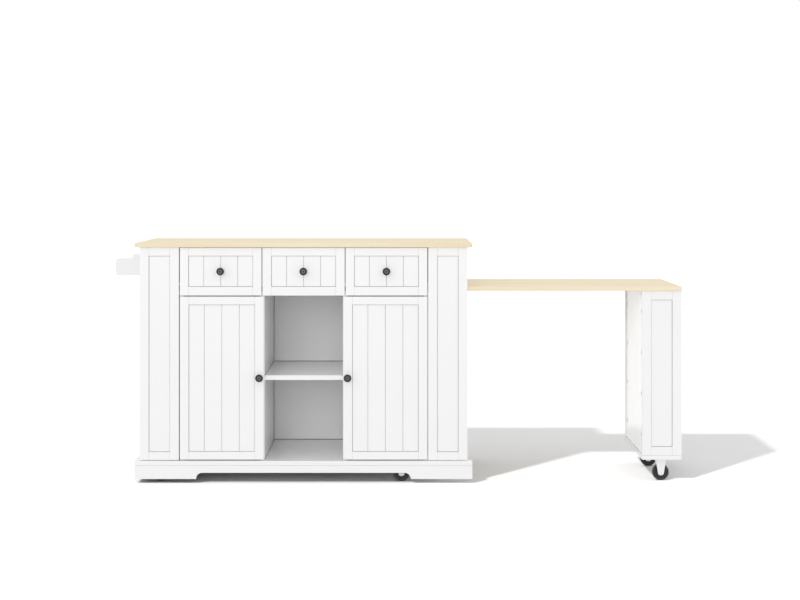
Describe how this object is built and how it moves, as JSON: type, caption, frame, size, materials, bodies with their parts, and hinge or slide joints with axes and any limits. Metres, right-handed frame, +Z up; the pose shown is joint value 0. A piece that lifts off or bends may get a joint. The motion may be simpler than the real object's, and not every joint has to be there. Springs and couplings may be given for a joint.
{
  "type": "rolling kitchen island with pull-out table",
  "caption": "White kitchen island on casters with a wooden worktop, drawers, doors and an open bay; a lower wooden table on a framed rolling leg slides out of its end.",
  "frame": {"origin": "on the floor, under the middle of the whole object's bounding box with the table pulled out", "axes": "+X along the island towards the table's leg, +Y towards the back, +Z up; drawers and doors face -Y"},
  "size_m": [2.209, 0.615, 0.93],
  "materials": {
    "white_paint": "satin white paint on board",
    "drawer_board": "white laminated board",
    "wood_top": "pale straight-grained wood under clear matt lacquer",
    "knob_metal": "dark bronze, nearly black, satin",
    "rack_white": "white powder coat",
    "caster_white": "white powder coat",
    "wheel_black": "black rubber tread",
    "steel": "zinc-plated steel"
  },
  "bodies": {
    "cabinet": {"back_panel": "white_paint", "base_board": "white_paint", "cabinet_caster_axles": "steel", "cabinet_caster_forks": "caster_white", "centre_shelf": "white_paint", "drawer_dividers": "white_paint", "drawer_slide_rails": "steel", "front_left_pilaster": "white_paint", "front_plinth": "white_paint", "front_right_pilaster": "white_paint", "hinge_arms": "steel", "left_centre_partition": "white_paint", "left_outer_partition": "white_paint", "left_plinth": "white_paint", "left_shelf": "white_paint", "left_side_panel": "white_paint", "lower_deck": "white_paint", "rack_bar": "rack_white", "rack_brackets": "rack_white", "rear_left_pilaster": "white_paint", "rear_plinth": "white_paint", "rear_right_pilaster": "white_paint", "right_centre_partition": "white_paint", "right_outer_partition": "white_paint", "right_shelf": "white_paint", "right_side_panel": "white_paint", "upper_deck": "white_paint", "worktop": "wood_top"},
    "table": {"table_top": "wood_top", "leg_front_panel": "white_paint", "leg_rear_panel": "white_paint", "leg_outer_panel": "white_paint", "leg_inner_panel": "white_paint", "leg_bottom_board": "white_paint", "leg_caster_forks": "caster_white", "leg_caster_axles": "steel"},
    "left_drawer": {"left_drawer_front": "white_paint", "left_drawer_box": "drawer_board", "left_drawer_knob": "knob_metal", "left_drawer_runners": "steel"},
    "middle_drawer": {"middle_drawer_front": "white_paint", "middle_drawer_box": "drawer_board", "middle_drawer_knob": "knob_metal", "middle_drawer_runners": "steel"},
    "right_drawer": {"right_drawer_front": "white_paint", "right_drawer_box": "drawer_board", "right_drawer_knob": "knob_metal", "right_drawer_runners": "steel"},
    "left_door": {"left_door": "white_paint", "left_door_knob": "knob_metal", "left_hinge_cups": "steel"},
    "right_door": {"right_door": "white_paint", "right_door_knob": "knob_metal", "right_hinge_cups": "steel"},
    "left_front_wheel": {"left_front_wheel": "wheel_black"},
    "left_rear_wheel": {"left_rear_wheel": "wheel_black"},
    "right_front_wheel": {"right_front_wheel": "wheel_black"},
    "right_rear_wheel": {"right_rear_wheel": "wheel_black"},
    "leg_front_wheel": {"leg_front_wheel": "wheel_black"},
    "leg_rear_wheel": {"leg_rear_wheel": "wheel_black"}
  },
  "joints": [
    {"name": "table_slide", "type": "slide", "parent": "cabinet", "child": "table", "axis": [1, 0, 0], "range_m": [-0.831, 0]},
    {"name": "left_drawer_slide", "type": "slide", "parent": "cabinet", "child": "left_drawer", "axis": [0, -1, 0], "range_m": [0, 0.34]},
    {"name": "middle_drawer_slide", "type": "slide", "parent": "cabinet", "child": "middle_drawer", "axis": [0, -1, 0], "range_m": [0, 0.34]},
    {"name": "right_drawer_slide", "type": "slide", "parent": "cabinet", "child": "right_drawer", "axis": [0, -1, 0], "range_m": [0, 0.34]},
    {"name": "left_door_hinge", "type": "hinge", "parent": "cabinet", "child": "left_door", "pos_m": [-0.8467, -0.2805, 0.4069], "axis": [0, 0, -1], "range_deg": [0, 100]},
    {"name": "right_door_hinge", "type": "hinge", "parent": "cabinet", "child": "right_door", "pos_m": [0.1137, -0.2805, 0.4069], "axis": [0, 0, 1], "range_deg": [0, 100]},
    {"name": "left_front_wheel_roll", "type": "hinge", "parent": "cabinet", "child": "left_front_wheel", "pos_m": [-0.9265, -0.2245, 0.032], "axis": [0, 1, 0], "continuous": true},
    {"name": "left_rear_wheel_roll", "type": "hinge", "parent": "cabinet", "child": "left_rear_wheel", "pos_m": [-0.9265, 0.2395, 0.032], "axis": [0, 1, 0], "continuous": true},
    {"name": "right_front_wheel_roll", "type": "hinge", "parent": "cabinet", "child": "right_front_wheel", "pos_m": [0.0135, -0.2245, 0.032], "axis": [0, 1, 0], "continuous": true},
    {"name": "right_rear_wheel_roll", "type": "hinge", "parent": "cabinet", "child": "right_rear_wheel", "pos_m": [0.0135, 0.2395, 0.032], "axis": [0, 1, 0], "continuous": true},
    {"name": "leg_front_wheel_roll", "type": "hinge", "parent": "table", "child": "leg_front_wheel", "pos_m": [1.0285, -0.2075, 0.032], "axis": [0, 1, 0], "continuous": true},
    {"name": "leg_rear_wheel_roll", "type": "hinge", "parent": "table", "child": "leg_rear_wheel", "pos_m": [1.0285, 0.1375, 0.032], "axis": [0, 1, 0], "continuous": true}
  ]
}
